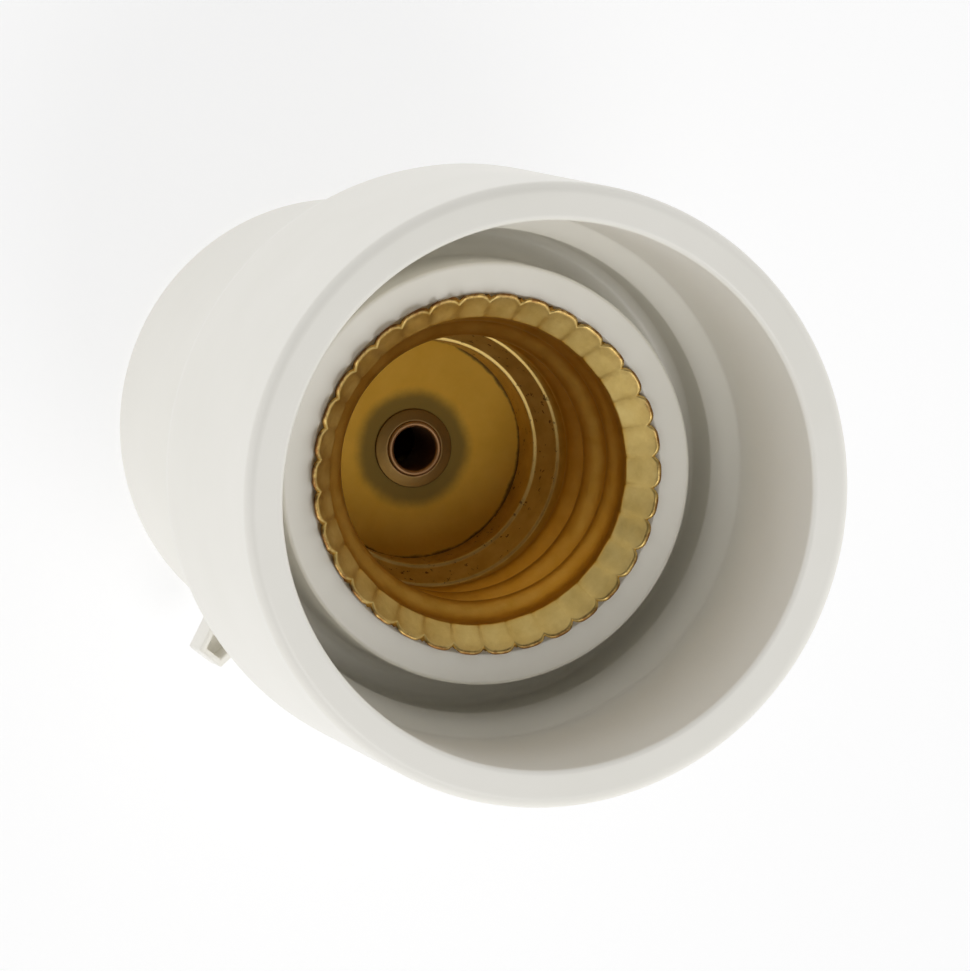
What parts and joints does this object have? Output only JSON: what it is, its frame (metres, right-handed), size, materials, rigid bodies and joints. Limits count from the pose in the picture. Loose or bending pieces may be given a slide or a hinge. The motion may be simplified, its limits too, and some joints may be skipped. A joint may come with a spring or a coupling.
{
  "type": "lamp socket adapter",
  "caption": "White moulded adapter with a bayonet lamp base at one end and a deep mouth with a brass screw lamp socket at the other.",
  "frame": {"origin": "centre of the contact end, on the plane of the barrel's rim", "axes": "+Z along the axis towards the mouth, X through the two bayonet lugs, Y through the two end contacts"},
  "size_m": [0.0292, 0.029, 0.0374],
  "materials": {
    "white_plastic": "moulded, satin to gloss",
    "shell_brass": "drawn and rolled sheet, lightly tarnished",
    "insulating_board": "amber resin board, matte",
    "eyelet_brass": "pressed tube, tarnished",
    "strap_brass": "cut strip",
    "contact_brass": "turned and riveted, bright"
  },
  "bodies": {
    "root": {"body": "white_plastic", "screw_shell": "shell_brass", "insulating_disc": "insulating_board", "centre_eyelet": "eyelet_brass", "shell_strap": "strap_brass", "centre_strap": "strap_brass", "end_plate": "white_plastic", "shell_contact": "contact_brass", "centre_contact": "contact_brass"}
  },
  "joints": []
}
